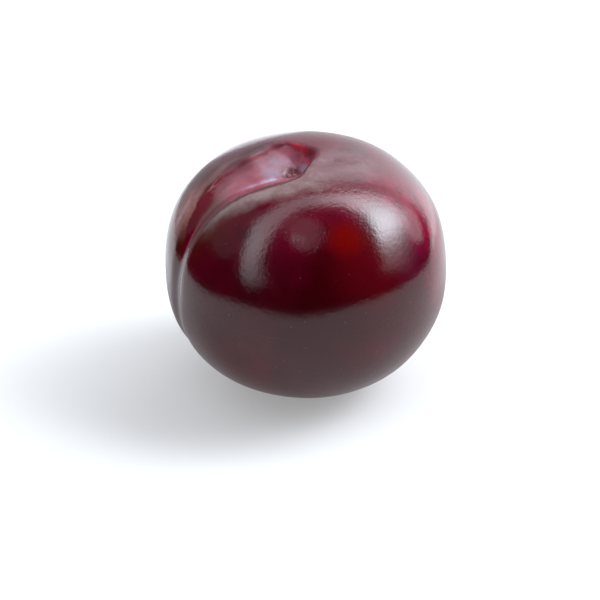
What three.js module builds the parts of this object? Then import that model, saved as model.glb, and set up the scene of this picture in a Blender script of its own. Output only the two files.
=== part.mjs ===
// A whole black plum, standing on its blossom end. Millimetres, +Z up.
//
// +Z runs up the stem axis. The seam, the groove that runs from the stem hollow down to the
// blossom end, is on the -X side, and the two cheeks face -Y and +Y. The origin is on the
// surface that the fruit stands on, under the middle of its outline.
//
// The fruit is one solid. It starts as a plain round body, turned on the stem axis, and its
// points then move straight in or out of that body's skin: in at the stem hollow and along the
// seam, and a little out at the lip in front of the seam.
import * as THREE from "three";

// Driving dimensions
const SEAM_TO_BACK = 64; // across, along X
const CHEEK_TO_CHEEK = 65; // across, along Y
const ABOVE_MIDDLE = 28.2; // from the widest level up to where the round body would close
const BELOW_MIDDLE = 28.2; // and down
const FULLNESS = 2.3; // exponent of the body's outline: 2 is an ellipse, more is squarer
const TOP_LEAN = 0.3; // the top stands this far over to the back
const REST_RADIUS = 6; // the small flat spot round the blossom end
const BLOSSOM_SCAR_RADIUS = 1.5;
const BLOSSOM_SCAR_DEPTH = 0.5;

// The seam, at stations this far apart over the skin from the stem axis. Each list starts at the
// axis and ends under the fruit.
const STATION = 8;
const SEAM_LINE = [-0.8, -1.8, -2.0, -2.6, -3.6, -3.4, -2.2, -1.2, -0.4, 0, 0]; // towards +Y
const SEAM_DEPTH = [5.6, 4.3, 3.3, 2.0, 1.0, 0.75, 0.7, 0.6, 0.5, 0.1, 0];
const SEAM_FRONT_WIDTH = [7.8, 7.6, 6.2, 4.2, 2.7, 2.6, 2.6, 2.6, 2.6, 2.6, 2.6]; // -Y side
const SEAM_BACK_WIDTH = [8.4, 9.1, 9.0, 6.3, 3.2, 2.8, 2.8, 2.8, 2.8, 2.8, 2.8]; // +Y side
const SEAM_EDGE_SOFTNESS = [0.21, 0.06]; // how round each edge is, as a share of its width: -Y, +Y
const SEAM_BOTTOM_SOFTNESS = [0.11, 0.18]; // and how round the bottom is
const SEAM_BOWL = [1, 1.3]; // and how hollow the wall is: 1 is straight
const SIDES_BLEND = 4; // one side's shape turns into the other's within this of the seam line

// The seam's deep end is the stem hollow. It closes in a blunt point just past the axis.
const HOLLOW_TIP = [-1.9, 1]; // where the point is: along, across
const HOLLOW_TIP_ROUND = 1; // how blunt it is
const HOLLOW_END_SLANT = 0.78; // how far back its two edges run from there, for each step across
const HOLLOW_END_REACH = 2.8; // the end wall slopes down over this distance
const HOLLOW_CORNERS = 2.4; // how square it meets the side walls: 2 is round
const RIM_DENT = 2.4; // the back edge bulges this far into the hollow
const RIM_DENT_PLACE = 12; // at this distance along
const RIM_DENT_WIDTH = 2.8; // and this far to each side of it

const FRONT_LIP_RAISE = 0.2; // the rolled lip along the front of the seam, highest near the stem
const FRONT_LIP_PLACE = 1.12; // its place and its width, as shares of the seam's front width
const FRONT_LIP_WIDTH = 0.45;
const FOLD_DEPTH = 0.5; // the lip's crease runs on a little way past the stem hollow
const FOLD_WIDTH = 2.6;
const FOLD_OFFSET = -4; // across, from the seam line

// Mesh
const SEGMENTS = 88;
const CROWDING = 0.5; // how strongly the segments crowd towards the seam

const RADIUS = SEAM_TO_BACK / 2;
const clamp01 = (v) => Math.min(1, Math.max(0, v));
const smooth = (from, to, v) => {
  const t = clamp01((v - from) / (to - from));
  return t * t * (3 - 2 * t);
};
const bell = (v) => Math.exp(-v * v);

// A smooth curve through a list of values, one for each station.
function at(values, along) {
  const place = Math.min(values.length - 1, Math.max(0, along / STATION));
  const i = Math.min(values.length - 2, Math.floor(place));
  const t = place - i;
  const before = values[Math.max(0, i - 1)];
  const [from, to] = [values[i], values[i + 1]];
  const after = values[Math.min(values.length - 1, i + 2)];
  const bend = 2 * before - 5 * from + 4 * to - after;
  return from + 0.5 * t * (to - before + t * (bend + t * (3 * (from - to) + after - before)));
}

// The round body's outline from the blossom scar up to the stem axis, as (radius, height), with
// height 0 at the widest level. The rings stand closer together at the stem hollow.
function outline() {
  const height = (r, reach) => reach * Math.pow(1 - Math.pow(r / RADIUS, FULLNESS), 1 / FULLNESS);
  const base = -height(REST_RADIUS, BELOW_MIDDLE);
  const points = [
    new THREE.Vector2(0, base + BLOSSOM_SCAR_DEPTH),
    new THREE.Vector2(BLOSSOM_SCAR_RADIUS * 0.55, base + BLOSSOM_SCAR_DEPTH * 0.8),
    new THREE.Vector2(BLOSSOM_SCAR_RADIUS, base),
    new THREE.Vector2(REST_RADIUS * 0.6, base),
  ];
  const ringsBelow = 17;
  const ringsAbove = 34;
  const startAngle = Math.asin(REST_RADIUS / RADIUS);
  for (let i = 0; i <= ringsBelow; i++) {
    const angle = startAngle + (Math.PI / 2 - startAngle) * (i / ringsBelow);
    const r = RADIUS * Math.sin(angle);
    points.push(new THREE.Vector2(r, -height(r, BELOW_MIDDLE)));
  }
  for (let i = 1; i <= ringsAbove; i++) {
    const share = 1 - i / ringsAbove;
    const angle = (Math.PI / 2) * Math.pow(share, 1.4);
    const r = RADIUS * Math.sin(angle);
    points.push(new THREE.Vector2(i === ringsAbove ? 0 : r, height(r, ABOVE_MIDDLE)));
  }
  return points;
}

// The body's outward direction at a point of it.
function outward(x, y, z) {
  const r = Math.hypot(x, y);
  const reach = z < 0 ? BELOW_MIDDLE : ABOVE_MIDDLE;
  const out = Math.pow(r / RADIUS, FULLNESS - 1) / RADIUS;
  const up = (Math.sign(z) * Math.pow(Math.abs(z) / reach, FULLNESS - 1)) / reach;
  return new THREE.Vector3(r ? (x / r) * out : 0, r ? (y / r) * out : 0, up).normalize();
}

// How far the skin lies inside the round body: along is the distance over the skin from the
// stem axis towards the seam, across is the distance to the side of the seam line.
function sunk(along, across) {
  const dent = RIM_DENT * bell((along - RIM_DENT_PLACE) / RIM_DENT_WIDTH);
  const width = across < 0 ? at(SEAM_FRONT_WIDTH, along) : at(SEAM_BACK_WIDTH, along) - dent;
  const beyondAxis = Math.max(0, -along); // the hollow's end is as sharp as the seam's back edge
  const side = smooth(-SIDES_BLEND, SIDES_BLEND, across + 2 * beyondAxis);
  const [edge, bottom, bowl] = [SEAM_EDGE_SOFTNESS, SEAM_BOTTOM_SOFTNESS, SEAM_BOWL].map(
    ([front, back]) => front + (back - front) * side,
  );
  const fromTip = Math.hypot(across - HOLLOW_TIP[1], HOLLOW_TIP_ROUND) - HOLLOW_TIP_ROUND;
  const end = HOLLOW_TIP[0] + HOLLOW_END_SLANT * fromTip;
  const past = Math.min(0, (along - end) / HOLLOW_END_REACH - 1);
  const corners = Math.abs(across / width) ** HOLLOW_CORNERS + Math.abs(past) ** HOLLOW_CORNERS;
  const out = corners ** (1 / HOLLOW_CORNERS);
  const share = (Math.hypot(out, bottom) - bottom) / (Math.hypot(1, bottom) - bottom);
  const wall = Math.log1p(Math.exp((1 - share ** bowl) / edge)) * edge;
  const seam = at(SEAM_DEPTH, along) * wall;

  const beside = bell((across / width + FRONT_LIP_PLACE) / FRONT_LIP_WIDTH);
  const lip = FRONT_LIP_RAISE * beside * smooth(-12, -2, along) * (1 - smooth(14, 34, along));
  const crease = bell((across - FOLD_OFFSET) / FOLD_WIDTH);
  const fold = FOLD_DEPTH * crease * smooth(-11, -4, along) * (1 - smooth(-4, 2, along));
  return seam + fold - lip;
}

function plumGeometry() {
  const geometry = new THREE.LatheGeometry(outline(), SEGMENTS);
  geometry.rotateX(Math.PI / 2);
  const position = geometry.getAttribute("position");
  const point = new THREE.Vector3();
  for (let i = 0; i < position.count; i++) {
    point.fromBufferAttribute(position, i);
    const r = Math.hypot(point.x, point.y);
    const even = Math.atan2(point.y, -point.x);
    const polar = Math.atan2(r, point.z);
    const line = at(SEAM_LINE, ABOVE_MIDDLE * polar);
    const lean = (line / Math.max(r, 8)) * Math.cos(even / 2) ** 2;
    const azimuth = even - CROWDING * Math.sin(even) + lean; // the seam's side is 0
    point.x = -r * Math.cos(azimuth);
    point.y = r * Math.sin(azimuth);
    const normal = outward(point.x, point.y, point.z);
    const along = ABOVE_MIDDLE * polar * Math.cos(azimuth);
    point.addScaledVector(normal, -sunk(along, point.y - at(SEAM_LINE, along)));
    point.x += TOP_LEAN * smooth(6, 26, point.z);
    point.y *= CHEEK_TO_CHEEK / SEAM_TO_BACK;
    position.setXYZ(i, point.x, point.y, point.z);
  }
  geometry.computeBoundingBox();
  const box = geometry.boundingBox;
  geometry.translate(-(box.min.x + box.max.x) / 2, -(box.min.y + box.max.y) / 2, -box.min.z);
  geometry.computeVertexNormals();
  return geometry;
}

const skin = new THREE.MeshStandardMaterial({ color: 0x4a0a18, roughness: 0.3, metalness: 0 });

const plum = new THREE.Group();
const fruit = new THREE.Mesh(plumGeometry(), skin);
fruit.name = "plum";
plum.add(fruit);

export default plum;
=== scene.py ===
# %% [markdown]
# # A whole black plum
#
# A black plum, as picked, standing on its blossom end. The fruit is one grown thing, so it is one
# mesh with one material. The lesson is in three parts: the shape, the skin, and the studio.
#
# Blender works in metres here, so a millimetre has a name. The imported solid is loaded first. It gives
# the true size, and it is never changed.

# %% Load the solid
import math

import bpy
from mathutils import Matrix, Vector, noise


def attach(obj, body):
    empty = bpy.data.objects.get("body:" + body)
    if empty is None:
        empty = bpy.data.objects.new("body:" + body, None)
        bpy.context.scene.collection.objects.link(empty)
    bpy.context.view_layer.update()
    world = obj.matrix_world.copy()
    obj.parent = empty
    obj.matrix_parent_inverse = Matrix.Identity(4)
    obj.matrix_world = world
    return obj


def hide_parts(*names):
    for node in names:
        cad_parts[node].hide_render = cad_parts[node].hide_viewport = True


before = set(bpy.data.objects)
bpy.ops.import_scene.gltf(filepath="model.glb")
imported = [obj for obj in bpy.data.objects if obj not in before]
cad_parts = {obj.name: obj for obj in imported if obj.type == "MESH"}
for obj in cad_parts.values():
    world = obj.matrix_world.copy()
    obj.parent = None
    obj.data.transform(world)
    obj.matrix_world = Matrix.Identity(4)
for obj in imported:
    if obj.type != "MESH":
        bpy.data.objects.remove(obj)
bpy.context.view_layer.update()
MM = 0.001

# %% [markdown]
# ## The camera
#
# The camera looks down on the fruit from a little left of the front cheek, so that the seam runs
# away to the left and the stem hollow shows. A long lens from half a metre away keeps the fruit's
# outline true. The view is built from three directions: back points from the fruit to the camera,
# right and up lie across that line. They are used again to place the lights, which are set by
# where they stand as seen from the camera.

# %% Camera
AZIMUTH, ELEVATION = math.radians(-20), math.radians(29)
back = Vector((
    math.sin(AZIMUTH) * math.cos(ELEVATION),
    -math.cos(AZIMUTH) * math.cos(ELEVATION),
    math.sin(ELEVATION),
))
right = Vector((math.cos(AZIMUTH), math.sin(AZIMUTH), 0))
up = back.cross(right)

MIDDLE = Vector((0, 0, 29 * MM))
CAMERA_DISTANCE = 456 * MM
LENS, SENSOR = 120, 36  # mm
PIXEL = 64 * MM / 282  # what one pixel of a 600-pixel frame spans at the fruit
AIM_BELOW, AIM_LEFT = 41.3 * PIXEL, 5.5 * PIXEL  # from the middle of the fruit
aim = MIDDLE - up * AIM_BELOW - right * AIM_LEFT

camera = bpy.data.objects.new("camera", bpy.data.cameras.new("camera"))
bpy.context.scene.collection.objects.link(camera)
camera.data.lens = LENS
camera.data.sensor_width = SENSOR
camera.location = MIDDLE + back * CAMERA_DISTANCE
camera.rotation_euler = (aim - camera.location).to_track_quat("-Z", "Y").to_euler()
bpy.context.scene.camera = camera
print("camera at, mm:", [round(v / MM) for v in camera.location])

# %% [markdown]
# ## The shape
#
# The solid already has the round body, the seam and the stem hollow, in flat facets. Smooth skin
# needs many more points, so a copy of it is finished with a Subdivision Surface modifier. The copy
# arrives as loose triangles. They are merged into one skin first, then paired into four-sided
# faces, because subdivision makes an even surface from quads and a lumpy one from triangles.

# %% A smooth copy of the solid
MERGE_WITHIN = 0.005 * MM
PAIR_WITHIN = math.radians(60)  # how much two triangles may bend where they make a quad
SUBDIVISIONS = 2
bpy.ops.object.select_all(action="DESELECT")
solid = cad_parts["plum"]
fruit = bpy.data.objects.new("plum_fruit", solid.data.copy())
bpy.context.scene.collection.objects.link(fruit)
bpy.context.view_layer.objects.active = fruit
fruit.select_set(True)


def apply_modifier(piece, kind, **settings):
    modifier = piece.modifiers.new(kind.title(), kind)
    for name, value in settings.items():
        setattr(modifier, name, value)
    bpy.ops.object.modifier_apply(modifier=modifier.name)


bpy.ops.object.mode_set(mode="EDIT")
bpy.ops.mesh.select_all(action="SELECT")
bpy.ops.mesh.remove_doubles(threshold=MERGE_WITHIN)
bpy.ops.mesh.tris_convert_to_quads(face_threshold=PAIR_WITHIN, shape_threshold=PAIR_WITHIN)
bpy.ops.object.mode_set(mode="OBJECT")
print("faces before subdivision:", len(fruit.data.polygons))
apply_modifier(fruit, "SUBSURF", levels=SUBDIVISIONS, render_levels=SUBDIVISIONS)
print("faces after:", len(fruit.data.polygons))

# %% [markdown]
# ## A map of the fruit
#
# Much of what makes a plum look real follows the seam and the hollow: the ragged red rim, the pink
# skin inside, the pale lip beside it. To place such things, every point of the skin gets three
# numbers, which are stored on the mesh as attributes for the material to read later:
#
# - `along`, the distance over the skin from the stem towards the seam side
# - `across`, the distance sideways from the seam line
# - `inside`, how far a point lies inside the rim of the hollow, or outside it if negative
#
# No line on a fruit is straight. The seam and the rims are given as distances at even stations
# along the fruit, and are read off smoothly between them.

# %% Seam and rims
STATION = 8 * MM
SEAM_LINE = [v * MM for v in (-0.8, -1.8, -2.0, -2.6, -3.6, -3.4, -2.2, -1.2, -0.4, 0, 0)]
NEAR_RIM = [v * MM for v in (-7.4, -7.2, -5.9, -4.0, -2.4, -1.6, -1.2, -1.0, -1.0, -1.0, -1.0)]
RIM_STATION = 3 * MM
FAR_RIM = [v * MM for v in (7.5, 8.0, 8.2, 7.4, 6.5, 6.6, 6.4, 5.6, 4.6, 3.3, 2.2, 1.1, 0.4)]


def at(values, station, along):
    """A smooth curve through a list of values, one for each station along the seam."""
    place = min(len(values) - 1, max(0, along / station))
    i = min(len(values) - 2, int(place))
    t = place - i
    before, here = values[max(0, i - 1)], values[i]
    there, after = values[i + 1], values[min(len(values) - 1, i + 2)]
    bend = 2 * before - 5 * here + 4 * there - after
    return here + 0.5 * t * (there - before + t * (bend + t * (3 * (here - there) + after - before)))


print("widest place of the far rim, mm:", round(max(FAR_RIM) / MM, 1))

# %% [markdown]
# How far along a point lies is measured as on a globe: its angle from the stem axis, about the
# middle of the widest level, times a radius, and times how squarely it faces the seam side. The
# hollow has three edges: the far rim, the near rim, and a slanted end by the stem with a round tip.
# A point is as far inside as it is from the nearest of them.

# %% Distances over the skin
SKIN_REACH = 28.2 * MM  # skin distance for each radian
WAIST = 28.2 * MM  # height of the widest level
HOLLOW_TIP = (-2.2 * MM, 1 * MM)  # along and across
HOLLOW_TIP_ROUND = 1 * MM
HOLLOW_END_SLANT = 0.78


def skin_place(point):
    """along, across and inside, for a point of the skin."""
    radius = math.hypot(point.x, point.y)
    polar = math.atan2(radius, point.z - WAIST)
    along = SKIN_REACH * polar * (-point.x / radius if radius else 1)
    across = point.y - at(SEAM_LINE, STATION, along)
    from_tip = math.hypot(across - HOLLOW_TIP[1], HOLLOW_TIP_ROUND) - HOLLOW_TIP_ROUND
    from_end = along - HOLLOW_TIP[0] - HOLLOW_END_SLANT * from_tip
    from_far = at(FAR_RIM, RIM_STATION, along) - across
    from_near = across - at(NEAR_RIM, STATION, along)
    return along, across, min(from_far, from_near, from_end)


places = [skin_place(vertex.co) for vertex in fruit.data.vertices]
for i, name in enumerate(("along", "across", "inside")):
    skin_map = fruit.data.attributes.new(name, "FLOAT", "POINT")
    for vertex in fruit.data.vertices:
        skin_map.data[vertex.index].value = places[vertex.index][i]
print("mapped points:", len(fruit.data.vertices))

# %% [markdown]
# ## Unevenness
#
# No plum is a perfect shape. Over a centimetre or two the skin swells and sinks by a few tenths of
# a millimetre, which bends the reflections. A Displace modifier with a soft clouds texture does
# this over the whole fruit. The flat spot that it stands on is left alone, by a vertex group that
# fades in above it.

# %% Soft swells
SWELL_HEIGHT = 0.7 * MM
SWELL_SIZE = 17 * MM
NO_SWELL_BELOW, FULL_SWELL_ABOVE = 1 * MM, 9 * MM


def paint_group(name, weight):
    """A vertex group with weight(vertex) at every point of the fruit."""
    group = fruit.vertex_groups.new(name=name)
    for vertex in fruit.data.vertices:
        group.add([vertex.index], weight(vertex), "REPLACE")


def clear_of_floor(vertex):
    above = (vertex.co.z - NO_SWELL_BELOW) / (FULL_SWELL_ABOVE - NO_SWELL_BELOW)
    return min(1, max(0, above))


swells = bpy.data.textures.new("swells", "CLOUDS")
swells.noise_scale = SWELL_SIZE
swells.noise_depth = 0
paint_group("clear_of_floor", clear_of_floor)
apply_modifier(fruit, "DISPLACE", texture=swells, texture_coords="LOCAL", strength=SWELL_HEIGHT,
               mid_level=0.5, vertex_group="clear_of_floor")
print("size with swells, mm:", [round(v / MM, 2) for v in fruit.dimensions])

# %% [markdown]
# ## The rim of the hollow
#
# The cheek behind the hollow does not roll over into it evenly. While the fruit swelled, the skin
# puckered round the stem, and its edge drops by about half a millimetre in a small ragged step. It
# could be sculpted by hand. Here it is a vertex group that is full just inside the rim and fades
# out towards the middle of the hollow, so the step is steep on one side only. Noise added to the
# distance from the rim makes it wander.

# %% The step at the rim
RIM_DROP = 0.45 * MM
PUCKER_SIZE = 2.2 * MM
PUCKER_WANDER = 0.35  # mm to each side


def soft_step(value, low, high):
    """0 at low, 1 at high and smooth between. It falls instead when high is the smaller one."""
    t = min(1, max(0, (value - low) / (high - low)))
    return t * t * (3 - 2 * t)


def below_rim(vertex):
    along, across, inside = (v / MM for v in places[vertex.index])
    inside -= PUCKER_WANDER * noise.noise(vertex.co / PUCKER_SIZE)
    step = soft_step(inside, -0.5, 0.5) * soft_step(inside, 4.5, 0.8)
    return step * soft_step(along, 0, 3) * soft_step(along, 26, 16) * soft_step(across, -3, 0)


paint_group("below_rim", below_rim)
apply_modifier(fruit, "DISPLACE", strength=-RIM_DROP, mid_level=0, vertex_group="below_rim")
print("size with the step, mm:", [round(v / MM, 2) for v in fruit.dimensions])

# %% [markdown]
# ## The stem scar
#
# The stem has come off, and where it was attached there is a scar about 5 mm wide with small pits,
# one for each strand that tore out. Each pit is a dent that is deepest in its middle and fades out
# like a bell curve. The list of pits is used again later to colour them.

# %% Pits of the scar
PIT_DEPTH = 0.6 * MM
SCAR_PITS = [  # x, y, z, radius, all in mm
    (-4.8, -0.9, 51.2, 0.8), (-3.1, 0.8, 51.4, 0.9), (-1.7, 0.8, 51.3, 0.8),
    (-3.4, -0.9, 51.1, 0.8), (-1.0, -0.8, 51.3, 0.8), (-4.6, -2.7, 51.5, 0.8)]


def in_a_pit(vertex):
    here = vertex.co / MM
    return max(math.exp(-((here - Vector(pit[:3])).length / pit[3]) ** 2) for pit in SCAR_PITS)


paint_group("scar_pits", in_a_pit)
apply_modifier(fruit, "DISPLACE", strength=-PIT_DEPTH, mid_level=0, vertex_group="scar_pits")
bpy.ops.object.shade_smooth()
print("size now, mm:", [round(v / MM, 2) for v in fruit.dimensions])

# %% [markdown]
# ## The skin
#
# A black plum's skin is a deep purple-red, so dark that it looks black where no light is mirrored
# in it. It is never one colour: it goes from purple-black to crimson and, in places, to a warm
# brown-red, and it is lighter and pinker inside the hollow, where the sun never reached it. Over
# the colour lies the bloom, a thin pale wax. Handling polishes it off the cheeks, and it stays in
# the hollow and beside it.
#
# The material is built from noise patterns on Object coordinates, which are metres on the fruit
# itself, so a pattern stays on the skin and keeps its size from every side. In the shader editor
# every step is a node and some wires, drawn by hand. Here three short helpers add and wire them.

# %% Helpers for nodes
skin = bpy.data.materials.new("plum_skin")
skin.use_nodes = True
nodes, links = skin.node_tree.nodes, skin.node_tree.links
surface = nodes["Principled BSDF"]


def plug(value, socket):
    if isinstance(value, bpy.types.NodeSocket):
        links.new(value, socket)
    else:
        socket.default_value = value


def add(kind, **sockets):
    made = nodes.new(kind)
    for name, value in sockets.items():
        plug(value, made.inputs[name.replace("_", " ")])
    return made


def calculate(operation, *values):
    made = nodes.new("ShaderNodeMath")
    made.operation = operation
    for i, value in enumerate(values):
        plug(value, made.inputs[i])
    return made.outputs[0]


print("nodes to begin with:", [node.name for node in nodes])

# %% [markdown]
# Four more helpers are the steps that the skin is made of: a smooth fade from one number to
# another, one colour laid over another, clouds of noise of a given size, and a number that was
# stored on the mesh.

# %% Helpers for patterns
def fade(value, low, high, start=0.0, end=1.0):
    """start at or below low, end at or above high, and smooth between them."""
    made = add("ShaderNodeMapRange", Value=value, From_Min=low, From_Max=high, To_Min=start, To_Max=end)
    made.interpolation_type = "SMOOTHSTEP"
    return made.outputs[0]


def mix(factor, under, over):
    made = nodes.new("ShaderNodeMix")
    made.data_type = "RGBA"
    plug(factor, made.inputs[0])
    plug(under, made.inputs[6])
    plug(over, made.inputs[7])
    return made.outputs[2]


def clouds(size, detail=2.0, roughness=0.5, distortion=0.0):
    """Noise whose lumps are about size across."""
    return add("ShaderNodeTexNoise", Vector=place, Scale=1 / size, Detail=detail,
               Roughness=roughness, Distortion=distortion).outputs[0]


def mapped(name):
    made = nodes.new("ShaderNodeAttribute")
    made.attribute_name = name
    return made.outputs["Fac"]


place = nodes.new("ShaderNodeTexCoord").outputs["Object"]
height = add("ShaderNodeSeparateXYZ", Vector=place).outputs["Z"]
along, across = mapped("along"), mapped("across")
print("nodes in the skin so far:", len(nodes))

# %% [markdown]
# ### Masks
#
# A mask says how much of a colour a point of the skin gets, from 0 to 1. Colours are laid over each
# other through masks, as a painter glazes. Four helpers make most of them: a soft round spot, the
# place where several masks overlap, a mask broken up by a noise pattern, since nothing on a fruit
# has a clean edge, and a band between two distances.

# %% Helpers for masks
def spot(x, y, z, full, gone):
    """A round patch of skin about a point, all in mm: full up to one distance, gone at the other."""
    made = add("ShaderNodeVectorMath")
    made.operation = "DISTANCE"
    plug(place, made.inputs[0])
    plug((x * MM, y * MM, z * MM), made.inputs[1])
    return fade(made.outputs["Value"], full * MM, gone * MM, 1, 0)


def both(*masks):
    """Where every mask is."""
    total = masks[0]
    for mask in masks[1:]:
        total = calculate("MULTIPLY", total, mask)
    return total


def part(mask, pattern, low, high):
    """Only a share of a mask, low to high as a pattern goes from dark to light."""
    return both(mask, fade(pattern, 0.35, 0.65, low, high))


def between(value, low, soft_low, soft_high, high):
    """A mask for values from low to high, given in mm, with a soft start and a soft end."""
    return both(fade(value, low * MM, soft_low * MM), fade(value, soft_high * MM, high * MM, 1, 0))


mottle = clouds(3 * MM, 4, 0.6, 0.4)
flecks = clouds(0.9 * MM, 3, 0.6)
drift = clouds(5 * MM, 2)
print("nodes in the skin so far:", len(nodes))

# %% [markdown]
# ### Ground colour
#
# The ground goes from almost black to crimson in clouds about 15 mm wide. It is redder near the top,
# partly where the fruit ripened in the sun and partly as painted light falling from above, which also
# leaves the lower fruit darker. On this fruit the front cheek also has a few patches of its own: a
# brown-red one in the middle, brighter red ones towards the right, and a purple one between them.

# %% Ground and patches
ALMOST_BLACK = (0.042, 0.0003, 0.0025, 1)
CRIMSON = (0.10, 0.001, 0.011, 1)
PURPLE = (0.085, 0.002, 0.018, 1)
WINE = (0.088, 0.001, 0.004, 1)
BROWN_RED = (0.145, 0.0015, 0.0003, 1)
BRIGHT_RED = (0.18, 0.001, 0.020, 1)
DULL = (0.045, 0.001, 0.008, 1)
PATCHES = [  # x, y, z, full, gone, share in the dark and in the light of the mottle, colour
    (13, -23, 44, 5, 13, 0.3, 0.8, PURPLE),
    (-12.5, -21.3, 47.9, 2, 9, 1, 1, CRIMSON),
    (4, -29.2, 41, 3, 12, 0.8, 0.8, WINE),
    (-0.2, -25.4, 47.2, 1, 6, 0.85, 0.85, BROWN_RED),
    (22, -16, 44.5, 4, 13, 0.3, 0.95, BRIGHT_RED),
    (24, -21, 33, 3, 10, 0.1, 0.6, BRIGHT_RED),
    (13, -15.5, 51.5, 2, 7, 0, 0.8, BRIGHT_RED),
    (9, -22.3, 48.6, 1.5, 6, 0.7, 1, DULL)]


def lay_patches(colour, patches):
    for x, y, z, full, gone, low, high, over in patches:
        colour = mix(part(spot(x, y, z, full, gone), mottle, low, high), colour, over)
    return colour


# Redder towards the top: partly ripeness, partly painted light from above that leaves the lower fruit
# darker.
ripeness_and_top_light = fade(height, 34 * MM, 50 * MM, 0.7, 1.05)
redness = both(clouds(15 * MM, 3, 0.5, 0.3), ripeness_and_top_light)
colour = mix(fade(redness, 0.32, 0.68), ALMOST_BLACK, CRIMSON)
colour = lay_patches(colour, PATCHES)
print("patches on the ground colour:", len(PATCHES))

# %% [markdown]
# ### Inside the hollow
#
# The skin in the hollow is thin and pink, and its colour is stronger at the stem end. The beginning
# of the pink is made ragged by adding fine noise to the distance from the rim. Where the seam leaves
# the hollow the skin is browner.

# %% Pink skin
PINK = (0.25, 0.055, 0.080, 1)
DEEP_PINK = (0.20, 0.016, 0.034, 1)
END_PINK = (0.52, 0.09, 0.15, 1)
BROWN = (0.085, 0.009, 0.003, 1)
RAGGED_BY = 1 * MM  # to each side
ragged = calculate("MULTIPLY_ADD", clouds(2.2 * MM, 5, 0.7), 2 * RAGGED_BY, -RAGGED_BY)
inside = calculate("ADD", mapped("inside"), ragged)
pink = both(fade(inside, 0, 1 * MM), fade(along, 17 * MM, 24.5 * MM, 1, 0))
pink_or_stronger = mix(spot(0.5, 3.5, 54.5, 2.5, 6), PINK, END_PINK)
colour = mix(both(spot(-24, 0, 46, 6, 16), 0.8), colour, BROWN)
colour = mix(pink, colour, pink_or_stronger)
colour = mix(part(pink, clouds(3.5 * MM, 4, 0.65, 1.5), 0, 0.6), colour, DEEP_PINK)
print("nodes in the skin so far:", len(nodes))

# %% [markdown]
# Wax gathers on the floor of the hollow and makes it paler, and part of this pale patch is a painted
# reflection. Along the deepest fold the wax lies in a bluish line, which wanders and is broken and is
# partly a painted glint of the lights. The same bluish colour flecks a spot beside the scar, partly as
# painted glints. Just under the far rim there is none, and the wall is a darker red.

# %% Wax and the far wall
PALE_WAX_AND_REFLECTION = (0.20, 0.165, 0.22, 1)
LILAC_WAX_AND_GLINT = (0.34, 0.31, 0.43, 1)
WALL_RED = (0.12, 0.004, 0.012, 1)
FOLD_WANDER = 3 * MM
FOLD_PLACE = 1.1 * MM  # takes out the middle of the wander again
# Pale patch on the floor of the hollow: partly wax, partly a painted reflection.
pale_wax_and_reflection = both(pink, spot(-5.5, 1.2, 51.5, 1.5, 6.5))
below_far_rim = fade(mapped("inside"), 0.8 * MM, 2.8 * MM, 0.7, 0)
wall = both(below_far_rim, fade(across, 1 * MM, 3 * MM), fade(along, 4 * MM, 7 * MM))
wandering = calculate("MULTIPLY_ADD", drift, FOLD_WANDER, across)
off_fold = calculate("ABSOLUTE", calculate("SUBTRACT", wandering, FOLD_PLACE))
# The bluish fold line: partly wax, partly a painted glint.
fold_line_and_glint = both(fade(off_fold, 0.1 * MM, 1.6 * MM, 1, 0), between(along, 7, 10, 12, 20))
# Bluish flecks beside the scar: partly wax, partly painted glints.
wax_and_glints_beside_scar = spot(-8.8, -2.4, 51.3, 0.5, 2.6)
colour = mix(part(pale_wax_and_reflection, mottle, 0.35, 0.95), colour, PALE_WAX_AND_REFLECTION)
colour = mix(both(pink, wall), colour, WALL_RED)
colour = mix(part(fold_line_and_glint, clouds(1.6 * MM, 4, 0.7), 0.1, 0.85), colour, LILAC_WAX_AND_GLINT)
colour = mix(part(wax_and_glints_beside_scar, flecks, 0.15, 0.6), colour, LILAC_WAX_AND_GLINT)
print("nodes in the skin so far:", len(nodes))

# %% [markdown]
# ### The edge of the hollow
#
# A crimson line runs round the rim, where the skin is folded and has no bloom. It widens into a band where
# the seam leaves the hollow, and it is bright red at the stem end, where the skin is stretched thin. On
# the near side there is only a thin brown line of painted shade along the crease.

# %% Rim, band and crease
RIM_RED = (0.15, 0.002, 0.016, 1)
BAND_RED = (0.12, 0.0003, 0.009, 1)
END_RED = (0.42, 0.004, 0.026, 1)
PAINTED_CREASE_SHADE = (0.075, 0.010, 0.012, 1)
far_side = fade(across, -3 * MM, -1.5 * MM)
near_side = fade(across, -3 * MM, -1.5 * MM, 1, 0)
rim = both(between(inside, -0.7, -0.3, 0.3, 1.0), fade(along, 18 * MM, 24 * MM, 1, 0))
band = both(between(inside, -0.8, -0.1, 2.4, 3.4), between(along, 15, 20, 34, 39), far_side)
end = both(between(inside, -0.4, 0.1, 0.5, 1.1), spot(-0.5, 3.6, 55.2, 1.4, 3.4))
# Painted shade: a thin brown shadow line along the near crease.
painted_crease_shade = both(between(inside, -0.3, 0, 0.5, 0.9), fade(along, 4 * MM, 8 * MM), near_side)
colour = mix(both(rim, far_side), colour, RIM_RED)
colour = mix(band, colour, BAND_RED)
colour = mix(end, colour, END_RED)
colour = mix(painted_crease_shade, colour, PAINTED_CREASE_SHADE)
print("nodes in the skin so far:", len(nodes))

# %% [markdown]
# ### The scar
#
# The scar is brown. Its pale crumbs are partly corky tissue and partly painted glints, and one pale spot
# on it is a painted glint. Its pits are the darkest part, partly their own dark colour and partly painted
# shade in the dents.

# %% Stem scar
SCAR_BROWN = (0.15, 0.032, 0.042, 1)
SCAR_PALE_AND_GLINT = (0.34, 0.20, 0.27, 1)
SCAR_DARK_AND_SHADE = (0.12, 0.009, 0.014, 1)
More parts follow.
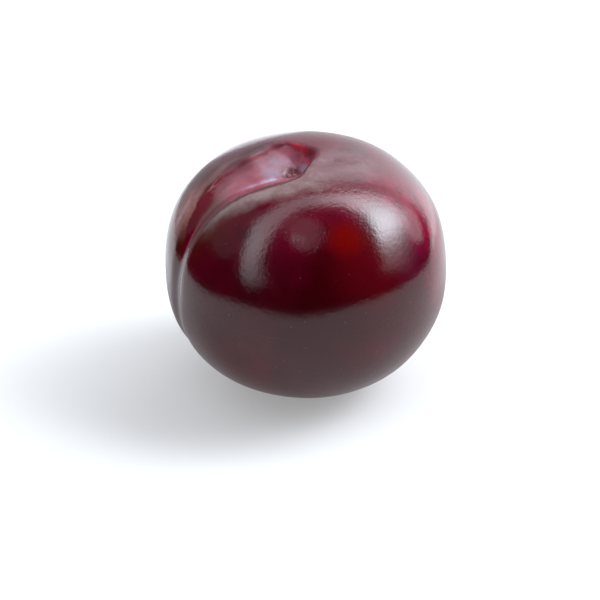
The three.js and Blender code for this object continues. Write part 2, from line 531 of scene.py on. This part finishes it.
# Pale crumbs: partly corky tissue, partly painted glints between the pits.
crumbs_and_glints = both(spot(-2.8, -0.6, 51.2, 2.0, 4.0), fade(flecks, 0.5, 0.62, 0, 0.6))
colour = mix(spot(-3.2, 0, 51.3, 1.8, 3.6), colour, SCAR_BROWN)
colour = mix(crumbs_and_glints, colour, SCAR_PALE_AND_GLINT)
# A painted glint on the scar.
colour = mix(spot(0.1, 1.0, 51.7, 0.4, 1.3), colour, SCAR_PALE_AND_GLINT)
# The pits are darkened: partly their own colour, partly painted shade in the dents.
for x, y, z, radius in SCAR_PITS:
    colour = mix(spot(x, y, z, 0.5 * radius, 1.4 * radius), colour, SCAR_DARK_AND_SHADE)
print("coloured pits:", len(SCAR_PITS))

# %% [markdown]
# ### Bloom
#
# The bloom is left on the lip beside the hollow, as a tan veil that thins out over a ragged edge, and very
# faintly on the back and the top. On the lip the tan is partly bloom and partly a painted grey reflection.
# The veil is narrower near the stem. The cheek on the far side of the seam is tawny instead, with one
# painted highlight streak along it.

# %% Bloom, lip and streak
BLOOM = (0.20, 0.15, 0.17, 1)
TAN_BLOOM_AND_REFLECTION = (0.21, 0.135, 0.13, 1)
TAWNY = (0.33, 0.12, 0.11, 1)
PAINTED_HIGHLIGHT_STREAK = (0.34, 0.24, 0.25, 1)
PAINTED_STREAK_PLACE = 7 * MM  # across
LIP_SLANT = -0.35  # the veil widens by this much for each step along
LIP_RAGGED = 4 * MM
LIP_NARROWER = -1.5 * MM  # at the stem
below_seam = calculate("MULTIPLY_ADD", along, LIP_SLANT, across)
below_seam = calculate("MULTIPLY_ADD", drift, LIP_RAGGED, below_seam)
below_seam = calculate("ADD", below_seam, fade(along, 4 * MM, 9 * MM, LIP_NARROWER, 0))
# The lip's tan: partly bloom, partly a painted reflection.
lip_edge_fade = fade(below_seam, -15.2 * MM, -12 * MM)
in_front = both(fade(inside, -1 * MM, -0.2 * MM, 1, 0), fade(across, -4 * MM, -2 * MM, 1, 0))
lip_bloom_and_reflection = both(lip_edge_fade, in_front, between(along, -7, 5, 22, 32))
tawny = part(spot(-27, 4, 44.5, 2, 9), mottle, 0.6, 1)
outside = fade(inside, -1 * MM, -0.4 * MM, 1, 0)
# Painted highlight: a light streak along the far cheek.
off_painted_streak = calculate("ABSOLUTE", calculate("SUBTRACT", across, PAINTED_STREAK_PLACE))
painted_highlight_streak = both(fade(off_painted_streak, 0.3 * MM, 1.3 * MM, 1, 0), between(along, 26, 28, 31, 34))
colour = mix(part(lip_bloom_and_reflection, mottle, 0.55, 0.9), colour, TAN_BLOOM_AND_REFLECTION)
colour = mix(both(tawny, outside), colour, TAWNY)
colour = mix(part(painted_highlight_streak, flecks, 0.4, 1), colour, PAINTED_HIGHLIGHT_STREAK)
BLOOM_PATCHES = [  # as the patches above
    (-12, 18, 48, 4, 24, 0.2, 0.35, BLOOM),
    (8, -6, 55, 2, 11, 0.1, 0.3, BLOOM)]
colour = lay_patches(colour, BLOOM_PATCHES)
print("nodes in the skin so far:", len(nodes))

# %% [markdown]
# ### Lenticels
#
# The skin breathes through pores, which show as tiny pale dots. A Voronoi texture scatters points
# about 2.6 mm apart, and a dot with a soft edge is put on each one, a quarter of a millimetre wide.

# %% Lenticels
LENTICEL_PINK = (0.16, 0.045, 0.055, 1)
LENTICEL_SPACING = 2.6 * MM
DOT_FULL, DOT_GONE = 0.045, 0.10  # from its middle, as shares of the spacing
DOT_STRENGTH = 0.5
cells = add("ShaderNodeTexVoronoi", Vector=place, Scale=1 / LENTICEL_SPACING, Randomness=1)
dots = fade(cells.outputs["Distance"], DOT_FULL, DOT_GONE, DOT_STRENGTH, 0)
colour = mix(dots, colour, LENTICEL_PINK)
plug(colour, surface.inputs["Base Color"])
print("full width of a dot, mm:", round(2 * DOT_FULL * LENTICEL_SPACING / MM, 2))

# %% [markdown]
# ### Shine
#
# Where fingers have polished the top, reflections are sharp. Lower down the wax is whole and they
# are blurred. The hollow is duller still, and its rim is almost matt. A fine bump, a few hundredths
# of a millimetre deep, breaks up the edges of the reflections as pores and wax do.

# %% Roughness and bump
WAXED, POLISHED = 0.33, 0.14
HOLLOW_DULLER = 0.36
RIM_ROUGHNESS = 0.8
BUMP_DEPTH = 0.035 * MM
FINE_SHARE = 0.45  # of the bump
SKIN_IOR = 1.45
hollow = both(fade(inside, -2.0 * MM, -1.2 * MM), fade(across, -4 * MM, -3 * MM))
hollow = both(hollow, fade(along, 14 * MM, 20 * MM, 1, 0))
rough_rim = both(rim, fade(across, -3 * MM, -1 * MM), fade(along, 14 * MM, 18 * MM, 1, 0))
roughness = fade(height, 22 * MM, 37 * MM, WAXED, POLISHED)
roughness = calculate("MULTIPLY_ADD", hollow, HOLLOW_DULLER, roughness)
roughness = calculate("MAXIMUM", roughness, calculate("MULTIPLY", rough_rim, RIM_ROUGHNESS))
plug(roughness, surface.inputs["Roughness"])
surface.inputs["IOR"].default_value = SKIN_IOR

fine = calculate("MULTIPLY", clouds(0.4 * MM, 2), FINE_SHARE)
pores = calculate("ADD", clouds(1.1 * MM, 2), fine)
bump = add("ShaderNodeBump", Height=pores, Strength=1.0, Distance=BUMP_DEPTH)
plug(bump.outputs["Normal"], surface.inputs["Normal"])

fruit.data.materials.clear()
fruit.data.materials.append(skin)
print("nodes in the skin:", len(nodes))

# %% [markdown]
# ## The studio
#
# The fruit stands on plain white paper. The paper glows a little, so that the shadow under the
# fruit stays soft and pale.

# %% Table
TABLE_RADIUS = 170 * MM
TABLE_GLOW = 0.3
PAPER = (0.5, 0.5, 0.5, 1)
bpy.ops.object.select_all(action="DESELECT")
bpy.ops.mesh.primitive_circle_add(vertices=128, radius=TABLE_RADIUS, fill_type="NGON")
table = bpy.context.active_object
table.name = "studio_table"
paper = bpy.data.materials.new("studio_white")
paper.use_nodes = True
sheet = paper.node_tree.nodes["Principled BSDF"].inputs
sheet["Base Color"].default_value = PAPER
sheet["Specular IOR Level"].default_value = 0
sheet["Emission Color"].default_value = (1, 1, 1, 1)
sheet["Emission Strength"].default_value = TABLE_GLOW
table.data.materials.append(paper)
print("table radius, mm:", round(TABLE_RADIUS / MM))

# %% [markdown]
# ### Small lights
#
# Dark glossy fruit shows little but its reflections, so the lights are placed by what they draw on
# the skin. Each softbox is given by two angles: how far it stands from the camera as seen from the
# fruit, and where it lies on a clock face held up before the fruit. The small ones draw the faint
# disc on the front cheek and its brighter core, the bright edge at the back, and a lift at the left
# and in the lower right. They are a little cooler than white, as window light is.

# %% Softboxes
COOL = (0.94, 0.99, 1.06)
SOFTBOX_DISTANCE = 600 * MM
SOFTBOXES = [  # name, angle, around, width, length, brightness
    ("disc", 37, 89, 34, 19, 0.75),
    ("disc_core", 32, 96, 5, 5, 2.8),
    ("left_fill", 70, 145, 34, 50, 0.3),
    ("right_low_fill", 104, 25, 20, 24, 2.0),
    ("back_edge", 160, 111, 32, 12, 1.0)]


def softbox(name, angle, around, width, length, brightness):
    """An oval of light. angle is how far it stands from the camera, seen from the fruit, and
    around is its place on the clock face, in degrees from the right, counter-clockwise.
    width and length are degrees too, and brightness is in whites."""
    angle, around = math.radians(angle), math.radians(around)
    sideways = right * math.cos(around) + up * math.sin(around)
    outward = back * math.cos(angle) + sideways * math.sin(angle)
    sweep = sideways * math.cos(angle) - back * math.sin(angle)
    light = bpy.data.lights.new(name, "AREA")
    light.shape = "ELLIPSE"
    light.size = 2 * SOFTBOX_DISTANCE * math.tan(math.radians(width / 2))
    light.size_y = 2 * SOFTBOX_DISTANCE * math.tan(math.radians(length / 2))
    light.color = COOL
    oval = math.pi / 4 * light.size * light.size_y
    light.energy = brightness * math.pi * oval  # one white takes pi watts for each square metre
    lamp = bpy.data.objects.new(name, light)
    bpy.context.scene.collection.objects.link(lamp)
    lamp.location = MIDDLE + outward * SOFTBOX_DISTANCE
    lamp.rotation_euler = Matrix((sweep, outward.cross(sweep), outward)).transposed().to_euler()
    lamp.visible_camera = False
    print(name, "watts:", round(light.energy, 2))


for values in SOFTBOXES:
    softbox(*values)

# %% [markdown]
# ### The large lights
#
# The big highlight on the right cheek and the long grey arc to its left are one curved strip light.
# Behind it hangs a wide overhead diffuser, which veils the top of the fruit. The dark red line
# between the two reflections is the gap between the lights. Both are too wide and too curved for
# softboxes, so they are painted on the world instead, in the same two angles. Each is given in rows
# round the clock face, and a colour ramp carries three numbers of a row at once.

# %% Angles on the world
DEGREES = 180 / math.pi
world = bpy.data.worlds.new("studio")
bpy.context.scene.world = world
world.use_nodes = True
nodes, links = world.node_tree.nodes, world.node_tree.links  # the node helpers now build here
direction = nodes.new("ShaderNodeTexCoord").outputs["Generated"]


def facing(axis):
    """How far a direction points along an axis, from -1 to 1."""
    made = nodes.new("ShaderNodeVectorMath")
    made.operation = "DOT_PRODUCT"
    plug(direction, made.inputs[0])
    plug(axis, made.inputs[1])
    return made.outputs["Value"]


def curves(value, rows):
    """Three curves read off at value, through rows of (place, a, b, c)."""
    start, end = rows[0][0], rows[-1][0]
    most = max(v for row in rows for v in row[1:])
    share = add("ShaderNodeMapRange", Value=value, From_Min=start, From_Max=end).outputs[0]
    ramp = add("ShaderNodeValToRGB", Fac=share)
    points = ramp.color_ramp.elements
    for row in rows[1:-1]:
        points.new((row[0] - start) / (end - start))
    for point, row in zip(points, rows):
        point.color = (*(v / most for v in row[1:]), 1)
    channels = add("ShaderNodeSeparateColor", Color=ramp.outputs["Color"]).outputs
    return [calculate("MULTIPLY", channel, most) for channel in channels]


def step_at(edge, softness, start=0.0, end=1.0):
    """A step in the angle at an edge. The edge and its softness may change round the clock face."""
    low, high = calculate("SUBTRACT", edge, softness), calculate("ADD", edge, softness)
    return fade(angle, low, high, start, end)


angle = calculate("MULTIPLY", calculate("ARCCOSINE", facing(back)), DEGREES)
around = calculate("MULTIPLY_ADD", calculate("ARCTAN2", facing(-right), facing(up)), DEGREES, 90)
print("nodes in the world so far:", len(nodes))

# %% The strip
INNER_EDGE = 6  # softness in degrees
OUTER_EDGE = (50, 78, 17, 3.5)  # between these two clock angles the softness goes from 17 to 3.5
STRIP = [  # around, inner edge, outer edge, brightness
    (-8, 62, 88, 0), (0, 62, 88, 1.2), (8, 63, 88, 2.2), (16, 61.5, 88, 4.5), (24, 61.5, 91.5, 8.7),
    (32, 63, 95, 15.6), (40, 65, 94.5, 18.4), (48, 67, 91, 17.2), (56, 70, 89, 14), (64, 72, 86.5, 11),
    (72, 73, 83, 8), (80, 70, 79, 6.2), (88, 67, 75.5, 3.9), (96, 60.5, 73.5, 3.1), (104, 53.5, 69, 3.1),
    (112, 47.5, 66, 3.0), (128, 41.5, 61.5, 3.6), (144, 37.5, 55.5, 4.1), (160, 36, 54, 3.6),
    (174, 35, 53, 2.8), (188, 34, 52, 2.2), (200, 33, 50, 1.0), (212, 33, 48, 0)]
inner, outer, brightness = curves(around, STRIP)
before_outer = step_at(outer, fade(around, *OUTER_EDGE), 1, 0)
strip = both(brightness, step_at(inner, INNER_EDGE), before_outer)
print("rows in the strip:", len(STRIP))

# %% [markdown]
# The overhead starts at a soft front edge and reaches behind the fruit, and is brighter to the
# right. Close to its edge it has some extra brightness, the fourth number of a row.

# %% The overhead
OVERHEAD = [  # around, front edge, its softness, extra brightness
    (-28, 117, 5, 0), (0, 121, 4, 0), (8, 128, 4, 0), (16, 132, 5, 0), (24, 130, 6, 0), (32, 123, 9, 0),
    (40, 111, 13, 0), (48, 107, 12, 0), (56, 103, 8, 0), (64, 98, 6, 0.8), (72, 90.5, 3, 1.6),
    (80, 88.5, 1.5, 1.6), (88, 85.5, 1.5, 0.9), (96, 83.5, 2, 0.7), (104, 80, 2, 0.9), (112, 82.5, 3, 1.6),
    (120, 85.5, 3, 1.3), (128, 87, 3, 1.0), (144, 86, 3, 0.5), (152, 90, 4, 0.2), (160, 106, 4, 0),
    (178, 121, 5, 0), (208, 121, 5, 0)]
EXTRA_FULL = 12  # degrees past the edge
EXTRA_GONE = 134  # degrees from the camera
LEFT_TO_RIGHT = (-0.3, 0.9, 0.42, 2.75)  # how far to the right, from and to, and how bright there
edge, softness, extra = curves(around, OVERHEAD)
near_edge = both(extra, fade(angle, calculate("ADD", edge, EXTRA_FULL), EXTRA_GONE, 1, 0))
overhead = calculate("ADD", near_edge, fade(facing(right), *LEFT_TO_RIGHT))
glow = calculate("MULTIPLY_ADD", overhead, step_at(edge, softness), strip)
print("rows in the overhead:", len(OVERHEAD))

# %% [markdown]
# The camera itself sees plain white behind the fruit, while the fruit mirrors the painted lights.

# %% Backdrop
BACKDROP = 1.1
sky = nodes["Background"]
sky.inputs["Color"].default_value = (*COOL, 1)
plug(glow, sky.inputs["Strength"])
white = add("ShaderNodeBackground", Color=(1, 1, 1, 1), Strength=BACKDROP)
seen = add("ShaderNodeMixShader", Fac=nodes.new("ShaderNodeLightPath").outputs["Is Camera Ray"])
plug(sky.outputs[0], seen.inputs[1])
plug(white.outputs[0], seen.inputs[2])
plug(seen.outputs[0], nodes["World Output"].inputs["Surface"])
print("nodes in the world:", len(nodes))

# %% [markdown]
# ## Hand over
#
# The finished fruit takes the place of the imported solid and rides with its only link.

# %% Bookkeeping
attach(fruit, "root")
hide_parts("plum")
bpy.context.scene.view_settings.view_transform = "Standard"
